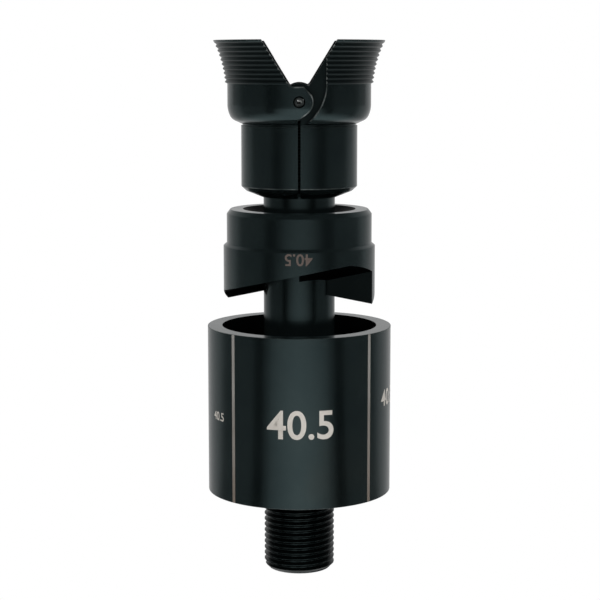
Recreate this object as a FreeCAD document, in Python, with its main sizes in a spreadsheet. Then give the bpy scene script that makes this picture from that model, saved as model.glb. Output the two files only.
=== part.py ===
import FreeCAD, Part
import math
import os
import Sketcher

# Quick-change knockout punch for a 40.5 mm conduit hole, drawn by a 19.05 mm draw stud.
# Millimetres. +Z runs up the stud towards the nut, +X is the right side as seen from the front, and the front
# faces -Y. The origin is on the stud's axis in the plane of the driver's face, where the die rests.

doc = FreeCAD.newDocument("KnockoutPunch")
sheet = doc.addObject("Spreadsheet::Sheet", "Sizes")

sizes = {
    # draw stud, 3/4-16 thread at both ends of a ground shank
    "stud_diameter": 19.05,
    "stud_thread_diameter": 18.98,
    "stud_end_chamfer": 1.2,
    "driver_thread_length": 22.0,
    "driver_thread_gap": 0.2,
    "thread_relief_diameter": 17.2,
    "thread_relief_width": 2.0,
    "nut_thread_run_out": 1.2,
    "stud_top_below_hinge": 3.2,
    # how far a cutting outline reaches past the piece it cuts
    "cut_margin": 2.0,
    # clearances, each on the radius
    "slide_clearance": 0.08,
    "nut_bore_clearance": 0.05,
    "pin_clearance": 0.03,
    # die
    "die_wall": 3.95,
    "die_height": 44.8,
    "die_floor": 11.0,
    "die_edge": 0.4,
    "cutting_clearance": 0.4,
    "die_relief": 0.5,
    "die_land": 12.0,
    # punch, its own zero at the height where the four cutting facets would meet on the axis
    "punch_diameter": 40.5,
    "punch_neck_diameter": 38.7,
    "punch_land_height": 7.3,
    "punch_step": 1.2,
    "punch_top": 17.9,
    "punch_top_chamfer": 1.5,
    "punch_top_chamfer_width": 1.15,
    "seat_diameter": 30.0,
    "seat_angle": 21.5,
    "shear_slope": 0.2,
    "shear_crown": 0.11,
    "tang_relief": 0.51,
    "valley_slope": 0.3,
    "valley_start": 15.4,
    "tang_half_width": 6.1,
    "sheet_gap": 6.4,
    # split nut, its own zero at the hinge axis
    "nut_gap": 4.9,
    "nut_diameter": 30.8,
    "nut_neck_diameter": 30.0,
    "nut_neck_height": 0.4,
    "nut_neck_depth": 6.4,
    "nut_cone_edge": 28.2,
    "nut_cone_depth": 23.7,
    "nut_corner": 0.7,
    "nut_bore_chamfer": 0.4,
    "split_gap": 0.7,
    "barrel_diameter": 38.0,
    "barrel_bottom_diameter": 37.2,
    "barrel_bottom_depth": 2.75,
    "barrel_corner_radius": 2.7,
    "underside_diameter": 30.5,
    "underside_angle": 25.0,
    "hollow_diameter": 25.2,
    "hollow_floor_depth": 6.0,
    "hollow_mouth_diameter": 32.0,
    "rib_base_height": 4.8,
    "rib_ledge": 0.3,
    "rib_count": 9,
    "rib_depth": 0.45,
    "rib_land": 0.2,
    "rim_height": 0.6,
    "flare_base_diameter": 39.2,
    "flare_top_diameter": 45.4,
    "flare_radius": 32.5,
    "lever_height": 15.8,
    "lever_lean": 31.5,
    # hinge of the two halves
    "pin_diameter": 3.0,
    "pin_inner_end": 9.85,
    "pin_end_chamfer": 0.25,
    "pin_end_setback": 0.1,
    "ear_split": 15.7,
    "ear_clearance": 0.1,
    "inner_ear_face": 12.9,
    "outer_ear_radius": 3.65,
    "outer_ear_top": 3.9,
    "outer_ear_flat": 1.2,
    "outer_ear_corner_height": 1.7,
    "outer_ear_foot": 2.2,
    "outer_ear_root": 4.9,
    "ear_blend": 1.8,
    "inner_ear_radius": 4.7,
    "ear_pocket_clearance": 0.35,
    "recess_edge": 6.9,
    "recess_radius": 13.1,
    # torsion spring on each hinge pin
    "spring_wire": 0.7,
    "spring_bore_clearance": 0.2,
    "spring_turns": 3,
    "spring_wire_sides": 8,
    "spring_pitch": 0.76,
    "spring_leg_angle": 60.0,
    "spring_pocket_width": 7.4,
    "spring_pocket_top": 8.0,
    "spring_pocket_bottom": 3.6,
    "spring_seat_gap": 0.05,
}

for row, (alias, value) in enumerate(sizes.items(), start=1):
    sheet.set("A%d" % row, alias)
    sheet.set("B%d" % row, str(value))
    sheet.setAlias("B%d" % row, alias)
doc.recompute()


def size(expression):
    """The present value of an expression of the sheet's sizes."""
    return float(sheet.evalExpression(expression))


def new_body(label, height="0", half_turn=False):
    """A body of its own, raised to its place on the stud and turned about it when it is the opposite one."""
    body = doc.addObject("PartDesign::Body", label)
    body.Label = label
    if half_turn:
        body.Placement.Rotation = FreeCAD.Rotation(FreeCAD.Vector(0, 0, 1), 180)
    body.setExpression("Placement.Base.z", height)
    return body


def origin_part(body, role):
    return next(part for part in body.Origin.OriginFeatures if part.Role == role)


def new_sketch(body, role, name, offset="0"):
    sketch = body.newObject("Sketcher::SketchObject", name)
    sketch.AttachmentSupport = [(origin_part(body, role), "")]
    sketch.MapMode = "FlatFace"
    sketch.setExpression("AttachmentOffset.Base.z", offset)
    return sketch


def bind(sketch, kind, geometry, vertex, expression):
    """Holds one coordinate of a sketch point at an expression of the sheet's sizes."""
    value = size(expression)
    index = sketch.addConstraint(Sketcher.Constraint(kind, -1, 1, geometry, vertex, value))
    sketch.setExpression("Constraints[%d]" % index, expression)


def draw_outline(sketch, corners):
    """Closes an outline through its corners.

    A corner is (x, y), reached by a straight line, or (x, y, centre x, centre y, turn), reached by an arc that
    turns anticlockwise for turn = 1 and clockwise for turn = -1. The arc's end keeps the coordinate that
    fixes it best, and its centre and start fix the rest.
    """
    points = [FreeCAD.Vector(size(corner[0]), size(corner[1]), 0) for corner in corners]
    ends = []
    for number, corner in enumerate(corners):
        start = points[number - 1]
        end = points[number]
        if len(corner) == 2:
            geometry = sketch.addGeometry(Part.LineSegment(start, end), False)
            ends.append((geometry, 1, 2))
            continue
        centre = FreeCAD.Vector(size(corner[2]), size(corner[3]), 0)
        circle = Part.Circle(centre, FreeCAD.Vector(0, 0, 1), (start - centre).Length)
        first, last = (start, end) if corner[4] == 1 else (end, start)
        angles = [math.atan2((point - centre).y, (point - centre).x) for point in (first, last)]
        geometry = sketch.addGeometry(Part.ArcOfCircle(circle, angles[0], angles[1]), False)
        ends.append((geometry, 1, 2) if corner[4] == 1 else (geometry, 2, 1))
    for number, corner in enumerate(corners):
        geometry, start_vertex, end_vertex = ends[number]
        following = ends[(number + 1) % len(ends)]
        sketch.addConstraint(Sketcher.Constraint("Coincident", geometry, end_vertex, *following[:2]))
        keep_x = keep_y = True
        if len(corner) == 5:
            bind(sketch, "DistanceX", geometry, 3, corner[2])
            bind(sketch, "DistanceY", geometry, 3, corner[3])
            spoke = points[number] - FreeCAD.Vector(size(corner[2]), size(corner[3]), 0)
            keep_x = abs(spoke.y) > abs(spoke.x)
            keep_y = not keep_x
        if keep_x:
            bind(sketch, "DistanceX", geometry, end_vertex, corner[0])
        if keep_y:
            bind(sketch, "DistanceY", geometry, end_vertex, corner[1])


def turn_profile(body, name, corners):
    """A turned form: the outline gives radius and height, and is spun about the stud's axis."""
    sketch = new_sketch(body, "XZ_Plane", name + "Profile")
    draw_outline(sketch, corners)
    turned = body.newObject("PartDesign::Revolution", name)
    turned.Profile = sketch
    turned.ReferenceAxis = (sketch, ["V_Axis"])
    turned.Angle = 360
    body.Tip = turned
    doc.recompute()
    return turned


def cut_from(body, name, corners, start, depth, towards_back):
    """Mills an outline seen from the front away, from the plane y = start for a depth to the back or front."""
    sketch = new_sketch(body, "XZ_Plane", name + "Outline", "-(%s)" % start)
    draw_outline(sketch, corners)
    before = body.Shape.Volume
    cut = body.newObject("PartDesign::Pocket", name)
    cut.Profile = sketch
    cut.Type = 0
    cut.Reversed = not towards_back
    cut.setExpression("Length", depth)
    body.Tip = cut
    doc.recompute()
    if body.Shape.Volume > before - 1.0:
        raise ValueError(name + " cuts nothing")
    return cut


def draw_circle(sketch, radius):
    """A circle on the sketch's origin."""
    circle = Part.Circle(FreeCAD.Vector(), FreeCAD.Vector(0, 0, 1), size(radius))
    geometry = sketch.addGeometry(circle, False)
    sketch.addConstraint(Sketcher.Constraint("Coincident", geometry, 3, -1, 1))
    index = sketch.addConstraint(Sketcher.Constraint("Radius", geometry, size(radius)))
    sketch.setExpression("Constraints[%d]" % index, radius)


def cut_through(body, name, draw, outline, length):
    """Mills an outline away for half the length each side of the middle plane y = 0."""
    sketch = new_sketch(body, "XZ_Plane", name + "Outline")
    draw(sketch, outline)
    before = body.Shape.Volume
    cut = body.newObject("PartDesign::Pocket", name)
    cut.Profile = sketch
    cut.Type = 0
    cut.Midplane = True
    cut.setExpression("Length", length)
    body.Tip = cut
    doc.recompute()
    if body.Shape.Volume > before - 1.0:
        raise ValueError(name + " cuts nothing")
    return cut


# Places along the stud that several pieces share.

stud_radius = "Sizes.stud_diameter / 2"
punch_zero = (
    "Sizes.die_height + Sizes.sheet_gap + Sizes.tang_relief * Sizes.tang_half_width + Sizes.shear_slope"
    " * sqrt(Sizes.punch_diameter^2 / 4 - Sizes.tang_half_width^2)"
)
hinge_height = punch_zero + " + Sizes.punch_top + Sizes.nut_gap + Sizes.nut_cone_depth"


def make_draw_stud():
    """A ground shank: a thread's outside at each end, a relief over the driver's thread, chamfered ends."""
    body = new_body("draw_stud")
    thread = "Sizes.stud_thread_diameter / 2"
    tip = thread + " - Sizes.stud_end_chamfer"
    relief = "Sizes.thread_relief_diameter / 2"
    bottom = "-Sizes.driver_thread_length"
    top = "(" + hinge_height + " - Sizes.stud_top_below_hinge)"
    nut_thread = "(" + hinge_height + " - Sizes.nut_cone_depth - Sizes.nut_thread_run_out)"
    turn_profile(body, "Shank", [
        ("0", bottom),
        (tip, bottom),
        (thread, bottom + " + Sizes.stud_end_chamfer"),
        (thread, "-Sizes.driver_thread_gap"),
        (relief, "-Sizes.driver_thread_gap"),
        (relief, "Sizes.thread_relief_width - Sizes.driver_thread_gap"),
        (stud_radius, "Sizes.thread_relief_width - Sizes.driver_thread_gap"),
        (stud_radius, nut_thread),
        (thread, nut_thread),
        (thread, top + " - Sizes.stud_end_chamfer"),
        (tip, top),
        ("0", top),
    ])
    return body


def make_die():
    """A cup: a round cutting edge over a relieved cavity for the slugs, with the stud's hole in its floor."""
    body = new_body("die")
    mouth = "(Sizes.punch_diameter / 2 + Sizes.cutting_clearance)"
    outside = mouth + " + Sizes.die_wall"
    cavity = mouth + " + Sizes.die_relief"
    hole = stud_radius + " + Sizes.slide_clearance"
    edge = "Sizes.die_edge"
    turn_profile(body, "Cup", [
        (hole + " + " + edge, "0"),
        (outside + " - " + edge, "0"),
        (outside, edge),
        (outside, "Sizes.die_height - " + edge),
        (outside + " - " + edge, "Sizes.die_height"),
        (mouth, "Sizes.die_height"),
        (mouth, "Sizes.die_height - Sizes.die_land"),
        (cavity, "Sizes.die_height - Sizes.die_land - Sizes.die_relief"),
        (cavity, "Sizes.die_floor"),
        (hole, "Sizes.die_floor"),
        (hole, edge),
    ])
    return body


def make_punch():
    """A turned slug-splitting punch whose cutting end is four pairs of sheared facets, each pair cut twice."""
    body = new_body("punch", punch_zero)
    land = "Sizes.punch_diameter / 2"
    neck = "Sizes.punch_neck_diameter / 2"
    bore = "(" + stud_radius + " + Sizes.slide_clearance)"
    seat = "Sizes.seat_diameter / 2"
    lowest = "-(Sizes.shear_slope + Sizes.tang_relief) * Sizes.punch_diameter / 2"
    turn_profile(body, "Turned", [
        (bore, lowest),
        (land, lowest),
        (land, "Sizes.punch_land_height"),
        (neck, "Sizes.punch_land_height + Sizes.punch_step"),
        (neck, "Sizes.punch_top - Sizes.punch_top_chamfer"),
        (neck + " - Sizes.punch_top_chamfer_width", "Sizes.punch_top"),
        (seat, "Sizes.punch_top"),
        (bore, "Sizes.punch_top - (" + seat + " - " + bore + ") * tan(Sizes.seat_angle * 1deg)"),
    ])
    # Every facet is ruled along one slanting line, so each side is one outline seen from the side, swept on it.
    # The profile is in the plane x = 0: y to the back, z up. The left sweep falls away and the right one rises.
    rim = "(Sizes.punch_diameter / 2 + Sizes.cut_margin)"
    floor = "(" + lowest + " - Sizes.shear_slope * " + rim + ")"
    front = ("-" + rim, "Sizes.shear_crown * " + rim)
    split = "Sizes.tang_half_width"
    valley = "Sizes.valley_start"
    valley_rise = "Sizes.shear_crown * " + split + " - Sizes.valley_slope * (" + valley + " - " + split + ")"
    sides = {
        "LeftShear": ([
            ("-" + rim, floor),
            (split, floor),
            (split, "-Sizes.tang_relief * " + split),
            ("0", "0"),
            front,
        ], False),
        "RightShear": ([
            ("-" + rim, floor),
            ("-" + split, floor),
            ("-" + split, valley_rise),
            ("-" + valley, "Sizes.shear_crown * " + valley),
            front,
        ], True),
    }
    for name, (corners, to_right) in sides.items():
        sketch = new_sketch(body, "YZ_Plane", name + "Outline")
        draw_outline(sketch, corners)
        cut = body.newObject("PartDesign::Pocket", name)
        cut.Profile = sketch
        cut.Type = 0
        cut.UseCustomVector = True
        cut.Direction = FreeCAD.Vector(1 if to_right else -1, 0, 0)
        cut.setExpression("Direction.z", "Sizes.shear_slope" if to_right else "-Sizes.shear_slope")
        cut.AlongSketchNormal = True
        cut.setExpression("Length", rim)
        body.Tip = cut
        doc.recompute()
        twin = body.newObject("PartDesign::PolarPattern", name + "Pair")
        twin.Originals = [cut]
        twin.Axis = (origin_part(body, "Z_Axis"), [""])
        twin.Angle = 360
        twin.Occurrences = 2
        body.Tip = twin
        doc.recompute()
    return body


def flare_radius_at(height):
    """The lever's radius at a height over the hinge: a hollow arc from the barrel out to the top edge."""
    base = "Sizes.flare_base_diameter / 2"
    top = "Sizes.flare_top_diameter / 2"
    low = "Sizes.rib_base_height"
    high = "Sizes.lever_height"
    chord = "sqrt((%s - %s)^2 + (%s - %s)^2)" % (top, base, high, low)
    lean = "asin((%s - %s) / (%s))" % (top, base, chord)
    sweep = "asin((%s) / (2 * Sizes.flare_radius))" % chord
    centre_height = "(%s - Sizes.flare_radius * sin(%s - %s))" % (low, lean, sweep)
    centre_radius = "(%s + Sizes.flare_radius * cos(%s - %s))" % (base, lean, sweep)
    return "%s - sqrt(Sizes.flare_radius^2 - (%s - %s)^2)" % (centre_radius, height, centre_height)


def make_nut_half(label, half_turn):
    """Half of the quick-release nut: jaw below the hinge, hollow lever with finger ribs above it.

    The whole nut is turned in one piece and then parted by four milled steps from front to back: an outer
    ear and a pocket in front, an inner ear and an open recess behind. The other half is the same, turned
    half round.
    """
    body = new_body(label, hinge_height, half_turn)
    bore = "(" + stud_radius + " + Sizes.nut_bore_clearance)"
    cone = "Sizes.nut_cone_edge / 2"
    cone_top = "(-Sizes.nut_cone_depth + (Sizes.nut_diameter / 2 - " + cone + ")"
    cone_top += " * tan(Sizes.seat_angle * 1deg))"
    cone_foot = "(-Sizes.nut_cone_depth - (" + cone + " - " + bore + " - Sizes.nut_bore_chamfer)"
    cone_foot += " * tan(Sizes.seat_angle * 1deg))"
    hollow = "Sizes.hollow_diameter / 2"
    barrel = "Sizes.barrel_diameter / 2"
    round_centre = "Sizes.barrel_bottom_diameter / 2 - Sizes.barrel_corner_radius"
    corners = [
        (bore + " + Sizes.nut_bore_chamfer", cone_foot),
        (cone, "-Sizes.nut_cone_depth"),
        ("Sizes.nut_diameter / 2", cone_top + " + Sizes.nut_corner"),
        ("Sizes.nut_diameter / 2", "-Sizes.nut_neck_depth"),
        ("Sizes.nut_neck_diameter / 2", "-Sizes.nut_neck_depth"),
        ("Sizes.nut_neck_diameter / 2", "-Sizes.nut_neck_depth + Sizes.nut_neck_height"),
        ("Sizes.underside_diameter / 2", "-Sizes.nut_neck_depth + Sizes.nut_neck_height"),
        (round_centre + " + Sizes.barrel_corner_radius * sin(Sizes.underside_angle * 1deg)",
         "-Sizes.barrel_bottom_depth - Sizes.barrel_corner_radius * cos(Sizes.underside_angle * 1deg)"),
        ("Sizes.barrel_bottom_diameter / 2", "-Sizes.barrel_bottom_depth", round_centre,
         "-Sizes.barrel_bottom_depth", 1),
        (barrel, "0"),
        (barrel, "Sizes.rib_base_height - Sizes.rib_ledge"),
    ]
    pitch = "((Sizes.lever_height - Sizes.rim_height - Sizes.rib_base_height) / Sizes.rib_count)"
    for rib in range(int(size("Sizes.rib_count"))):
        low = "(Sizes.rib_base_height + %d * %s)" % (rib, pitch)
        rise = low + " + Sizes.rib_land"
        root = low + " + (" + pitch + " + Sizes.rib_land) / 2"
        corners.append((flare_radius_at(low), low))
        corners.append((flare_radius_at(rise), rise))
        corners.append((flare_radius_at(root) + " - Sizes.rib_depth", root))
    for height in ("Sizes.lever_height - Sizes.rim_height", "Sizes.lever_height"):
        corners.append((flare_radius_at("(" + height + ")"), height))
    corners += [
        ("Sizes.hollow_mouth_diameter / 2", "Sizes.lever_height"),
        (hollow, "Sizes.rib_base_height"),
        (hollow, "-Sizes.hollow_floor_depth"),
        (bore, "-Sizes.hollow_floor_depth"),
        (bore, cone_foot + " + Sizes.nut_bore_chamfer"),
    ]
    turn_profile(body, "Turned", corners)

    # All four outlines start on the slanting lever edge above the top and run down to the split below the jaw.
    over = "(Sizes.lever_height + Sizes.cut_margin)"
    under = "(-Sizes.nut_cone_depth - 2 * Sizes.cut_margin)"
    far = "(Sizes.flare_top_diameter / 2 + Sizes.cut_margin)"
    split = "-Sizes.split_gap / 2"
    lean = "tan(Sizes.lever_lean * 1deg)"
    above = ("-" + over + " * " + lean, over)
    rest = [(split, under), (far, under), (far, over)]
    ear_split = "Sizes.ear_split"

    shoulder = "Sizes.outer_ear_top"
    blend = "Sizes.ear_blend"
    blend_run = blend + " * tan((90deg - Sizes.lever_lean * 1deg) / 2)"
    crook = "-" + shoulder + " * " + lean
    blend_end = crook + " + " + blend_run
    blend_start = (
        crook + " - " + blend_run + " * sin(Sizes.lever_lean * 1deg)",
        shoulder + " + " + blend_run + " * cos(Sizes.lever_lean * 1deg)",
    )
    ear = "Sizes.outer_ear_radius"
    foot_height = "sqrt(" + ear + "^2 - Sizes.outer_ear_foot^2)"
    corner_reach = "sqrt(" + ear + "^2 - Sizes.outer_ear_corner_height^2)"
    outer_ear = [
        above,
        blend_start,
        (blend_end, shoulder, blend_end, shoulder + " + " + blend, 1),
        ("Sizes.outer_ear_flat", shoulder),
        (corner_reach, "Sizes.outer_ear_corner_height"),
        ("Sizes.outer_ear_foot", "-" + foot_height, "0", "0", -1),
        (split, "-Sizes.outer_ear_root"),
    ] + rest
    cut_from(body, "OuterEar", outer_ear, "-" + ear_split, far, False)

    pocket = "(Sizes.inner_ear_radius + Sizes.ear_pocket_clearance)"
    inner_pocket = [
        above,
        ("-" + pocket + " * sin(Sizes.lever_lean * 1deg)", pocket + " * cos(Sizes.lever_lean * 1deg)"),
        (split, "-sqrt(" + pocket + "^2 - Sizes.split_gap^2 / 4)", "0", "0", 1),
    ] + rest
    inner_face = "(Sizes.inner_ear_face)"
    cut_from(body, "EarPocket", inner_pocket, "-" + ear_split, ear_split + " + " + inner_face, True)

    dome = "Sizes.inner_ear_radius"
    inner_ear = [
        above,
        ("-" + dome + " * sin(Sizes.lever_lean * 1deg)", dome + " * cos(Sizes.lever_lean * 1deg)"),
        (split, "-sqrt(" + dome + "^2 - Sizes.split_gap^2 / 4)", "0", "0", -1),
    ] + rest
    inner_depth = ear_split + " - Sizes.ear_clearance - " + inner_face
    cut_from(body, "InnerEar", inner_ear, inner_face, inner_depth, True)

    edge = "Sizes.recess_edge"
    arc = "Sizes.recess_radius"
    sink = "(" + edge + " - " + arc + ")"
    recess = [
        above,
        ("-" + edge, edge + " / " + lean),
        ("-" + edge, "Sizes.rib_base_height"),
        (split, "Sizes.rib_base_height - sqrt(" + arc + "^2 - (" + sink + " - Sizes.split_gap / 2)^2)",
         "-" + sink, "Sizes.rib_base_height", 1),
    ] + rest
    cut_from(body, "Recess", recess, ear_split + " - Sizes.ear_clearance", far, True)

    side = "Sizes.spring_pocket_width"
    spring_pocket = [
        ("-" + side, "-Sizes.spring_pocket_bottom"),
        (side, "-Sizes.spring_pocket_bottom"),
        (side, "Sizes.spring_pocket_top"),
        ("-" + side, "Sizes.spring_pocket_top"),
    ]
    cut_through(body, "SpringPocket", draw_outline, spring_pocket, "2 * " + inner_face)
    hole = "Sizes.pin_diameter / 2 + Sizes.pin_clearance"
    cut_through(body, "HingeHole", draw_circle, hole, "2 * " + far)
    return body


def make_hinge_pin(label, half_turn):
    """A short pin from the barrel's face in to the edge of the stud's path, with chamfered ends."""
    body = new_body(label, hinge_height, half_turn)
    radius = "Sizes.pin_diameter / 2"
    chamfer = "Sizes.pin_end_chamfer"
    outer = "Sizes.barrel_diameter / 2 - Sizes.pin_end_setback"
    inner = "Sizes.pin_inner_end"
    sketch = new_sketch(body, "YZ_Plane", "PinProfile")
    draw_outline(sketch, [
        ("-(" + outer + ")", "0"),
        ("-" + inner, "0"),
        ("-" + inner, radius + " - " + chamfer),
        ("-" + inner + " - " + chamfer, radius),
        ("-(" + outer + ") + " + chamfer, radius),
        ("-(" + outer + ")", radius + " - " + chamfer),
    ])
    pin = body.newObject("PartDesign::Revolution", "Pin")
    pin.Profile = sketch
    pin.ReferenceAxis = (sketch, ["H_Axis"])
    pin.Angle = 360
    body.Tip = pin
    doc.recompute()
    return body


def make_lever_spring(label, half_turn):
    """A torsion spring wound on the hinge pin, one straight leg against each lever to keep the jaws shut."""
    wire = size("Sizes.spring_wire") / 2
    coil = size("Sizes.pin_diameter / 2 + Sizes.spring_bore_clearance") + wire
    angle = math.radians(size("Sizes.spring_leg_angle"))
    turns = size("Sizes.spring_turns") - (math.pi - 2 * angle) / (2 * math.pi)
    length = turns * size("Sizes.spring_pitch")
    outer = size("Sizes.inner_ear_face - Sizes.ear_clearance") - wire
    inner = outer - length
    tip = wire * math.cos(angle) + size("Sizes.spring_seat_gap")

    # The outer leg ends at the side of the lever's pocket and the inner one on the lever's flared inside.
    outer_leg = (size("Sizes.spring_pocket_width") - tip + coil * math.cos(angle)) / math.sin(angle)
    mouth = size("Sizes.hollow_mouth_diameter / 2")
    hollow = size("Sizes.hollow_diameter / 2")
    flare = (mouth - hollow) / size("Sizes.lever_height - Sizes.rib_base_height")
    # The wall leans out, so the leg's length and the wall's place at its tip are brought together in steps.
    inner_leg = outer_leg
    steps = 30
    for _ in range(steps):
        height = coil * math.sin(angle) + inner_leg * math.cos(angle)
        wall = hollow + flare * max(height - size("Sizes.rib_base_height"), 0) - tip - wire
        inner_leg = (math.sqrt(wall ** 2 - inner ** 2) + coil * math.cos(angle)) / math.sin(angle)

    # Wound about Z from the right leg's foot, then laid along the hinge with the outer end in front.
    helix = Part.makeHelix(size("Sizes.spring_pitch"), length, coil)
    helix.rotate(FreeCAD.Vector(), FreeCAD.Vector(0, 0, 1), math.degrees(math.pi - angle))
    begin = FreeCAD.Vector(-coil * math.cos(angle), coil * math.sin(angle), 0)
    finish = FreeCAD.Vector(coil * math.cos(angle), coil * math.sin(angle), length)
    right_way = FreeCAD.Vector(math.sin(angle), math.cos(angle), 0)
    left_way = FreeCAD.Vector(-math.sin(angle), math.cos(angle), 0)
    sides = int(size("Sizes.spring_wire_sides"))

    def wire_section(centre, way):
        """A many-sided section of the wire, square to its way."""
        across = way.cross(FreeCAD.Vector(0, 0, 1)) * wire
        along = FreeCAD.Vector(0, 0, wire)
        corners = [2 * math.pi * (number + 0.5) / sides for number in range(sides + 1)]
        return Part.makePolygon([centre + across * math.cos(turn) + along * math.sin(turn) for turn in corners])

    path = Part.Wire(helix.Edges)
    shape = path.makePipeShell([wire_section(begin, right_way)], True, True)
    for foot, way, reach in ((begin, right_way, inner_leg), (finish, left_way, outer_leg)):
        root = wire_section(foot - way * wire / 2, way)
        shape = shape.fuse(Part.Face(root).extrude(way * (reach + wire / 2)))
    # Z of the winding becomes -Y of the nut, and Y becomes Z.
    laid = FreeCAD.Placement(FreeCAD.Vector(0, -inner, 0), FreeCAD.Rotation(FreeCAD.Vector(1, 0, 0), 90))
    side = FreeCAD.Rotation(FreeCAD.Vector(0, 0, 1), 180 if half_turn else 0)
    spring = doc.addObject("Part::Feature", label)
    spring.Label = label
    spring.Shape = shape
    spring.Placement = FreeCAD.Placement(FreeCAD.Vector(0, 0, size(hinge_height)), side).multiply(laid)
    return spring


pieces = [
    make_draw_stud(),
    make_die(),
    make_punch(),
    make_nut_half("nut_left_half", False),
    make_nut_half("nut_right_half", True),
    make_hinge_pin("hinge_pin_front", False),
    make_hinge_pin("hinge_pin_back", True),
    make_lever_spring("lever_spring_front", False),
    make_lever_spring("lever_spring_back", True),
]
doc.recompute()

for item in doc.Objects:
    if "Invalid" in item.State or "Error" in item.State:
        raise ValueError(item.Label + " failed")
for piece in pieces:
    if piece.Shape.isNull() or not piece.Shape.isValid() or len(piece.Shape.Solids) != 1:
        raise ValueError(piece.Label + " is not one sound solid")

os.makedirs("parts", exist_ok=True)
for piece in pieces:
    piece.Shape.exportStep("parts/%s.step" % piece.Label)
    print("%-20s %9.1f mm3" % (piece.Label, piece.Shape.Volume))
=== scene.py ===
import math
import bpy
import bmesh
from mathutils import Matrix, Vector


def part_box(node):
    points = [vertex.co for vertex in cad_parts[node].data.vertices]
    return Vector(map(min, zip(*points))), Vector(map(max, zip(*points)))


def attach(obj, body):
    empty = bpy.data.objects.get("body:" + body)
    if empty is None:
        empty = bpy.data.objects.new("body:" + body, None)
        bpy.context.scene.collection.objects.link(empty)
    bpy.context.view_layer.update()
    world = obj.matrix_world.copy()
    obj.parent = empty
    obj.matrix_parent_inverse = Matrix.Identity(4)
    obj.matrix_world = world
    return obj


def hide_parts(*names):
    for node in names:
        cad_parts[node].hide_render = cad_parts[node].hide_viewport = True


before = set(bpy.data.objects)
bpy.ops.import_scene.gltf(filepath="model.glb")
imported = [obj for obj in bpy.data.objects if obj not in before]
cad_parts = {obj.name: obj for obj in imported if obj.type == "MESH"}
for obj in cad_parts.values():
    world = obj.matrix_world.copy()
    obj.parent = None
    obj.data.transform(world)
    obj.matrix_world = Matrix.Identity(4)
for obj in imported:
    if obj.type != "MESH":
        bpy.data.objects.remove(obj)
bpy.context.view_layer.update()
mm = 0.001

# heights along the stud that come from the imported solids, in millimetres
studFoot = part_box("draw_stud")[0].z / mm
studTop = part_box("draw_stud")[1].z / mm
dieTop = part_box("die")[1].z / mm
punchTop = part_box("punch")[1].z / mm
hingeHeight = (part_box("hinge_pin_front")[0].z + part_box("hinge_pin_front")[1].z) / 2 / mm


def arcPoints(centreX, centreZ, radius, startDegrees, endDegrees, steps):
    turns = [math.radians(startDegrees + (endDegrees - startDegrees) * i / steps) for i in range(steps + 1)]
    return [(centreX + radius * math.cos(t), centreZ + radius * math.sin(t)) for t in turns]


# rounds the corners of an outline; a corner is (x, z), (x, z, radius) or (x, z, radius, wornAndLit)
# a marked corner keeps its own number on the points of its round, any other point gets -1; the bands of a
# marked round get the second finish, worn oxide with painted highlight
def roundedOutline(corners, steps=4):
    points = []
    count = len(corners)
    for i, corner in enumerate(corners):
        here = Vector(corner[:2])
        radius = corner[2] if len(corner) > 2 else 0
        wornAndLit = i if len(corner) > 3 else -1
        if not radius:
            points.append((here.x, here.y, -1))
            continue
        back = Vector(corners[i - 1][:2]) - here
        ahead = Vector(corners[(i + 1) % count][:2]) - here
        half = back.angle(ahead) / 2
        run = min(radius / math.tan(half), back.length * 0.49, ahead.length * 0.49)
        radius = run * math.tan(half)
        centre = here + (back.normalized() + ahead.normalized()).normalized() * radius / math.sin(half)
        first = here + back.normalized() * run - centre
        last = here + ahead.normalized() * run - centre
        for step in range(steps + 1):
            point = centre + first.slerp(last, step / steps).normalized() * radius
            points.append((point.x, point.y, wornAndLit))
    return points


# spins rows of (radius, height, marked corner) about the stud; radiusAt can change a row's radius by angle
def latheMesh(name, rows, angles, closed=True, radiusAt=None):
    bm = bmesh.new()
    rings = []
    for radius, height, wornAndLit in rows:
        ring = []
        for angle in angles if radius > 1e-6 else [0]:
            r = radiusAt(radius, height, angle) if radiusAt else radius
            ring.append(bm.verts.new((r * math.cos(angle) * mm, r * math.sin(angle) * mm, height * mm)))
        rings.append(ring)
    count = len(angles)
    bands = list(range(len(rows) - 1)) + ([-1] if closed else [])
    for band in bands:
        low, high = rings[band], rings[band + 1]
        wornAndLit = rows[band][2] == rows[band + 1][2] > -1
        for i in range(count):
            j = (i + 1) % count
            corners = [low[i % len(low)], low[j % len(low)], high[j % len(high)], high[i % len(high)]]
            corners = list(dict.fromkeys(corners))
            if len(corners) > 2:
                bm.faces.new(corners).material_index = 1 if wornAndLit else 0
    bmesh.ops.recalc_face_normals(bm, faces=bm.faces)
    return meshObject(name, bm)


def meshObject(name, bm):
    mesh = bpy.data.meshes.new(name)
    bm.to_mesh(mesh)
    bm.free()
    piece = bpy.data.objects.new(name, mesh)
    bpy.context.scene.collection.objects.link(piece)
    return piece


def evenAngles(count):
    return [2 * math.pi * i / count for i in range(count)]


def joinRings(bm, rings):
    for near, far in zip(rings, rings[1:]):
        for i in range(len(near)):
            j = (i + 1) % len(near)
            bm.faces.new((near[i], near[j], far[j], far[i]))


# closes a row of sections, each a ring of as many points, into a solid cutter that leaves the given finish
def loftMesh(name, sections, place=Matrix(), leaves=2):
    bm = bmesh.new()
    rings = [[bm.verts.new(place @ Vector(point) * mm) for point in section] for section in sections]
    bm.faces.new(rings[0])
    bm.faces.new(rings[-1])
    joinRings(bm, rings)
    for face in bm.faces:
        face.material_index = leaves
    bmesh.ops.recalc_face_normals(bm, faces=bm.faces)
    return meshObject(name, bm)


def applyModifiers(piece):
    graph = bpy.context.evaluated_depsgraph_get()
    mesh = bpy.data.meshes.new_from_object(piece.evaluated_get(graph))
    old = piece.data
    piece.modifiers.clear()
    piece.data = mesh
    bpy.data.meshes.remove(old)


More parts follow.
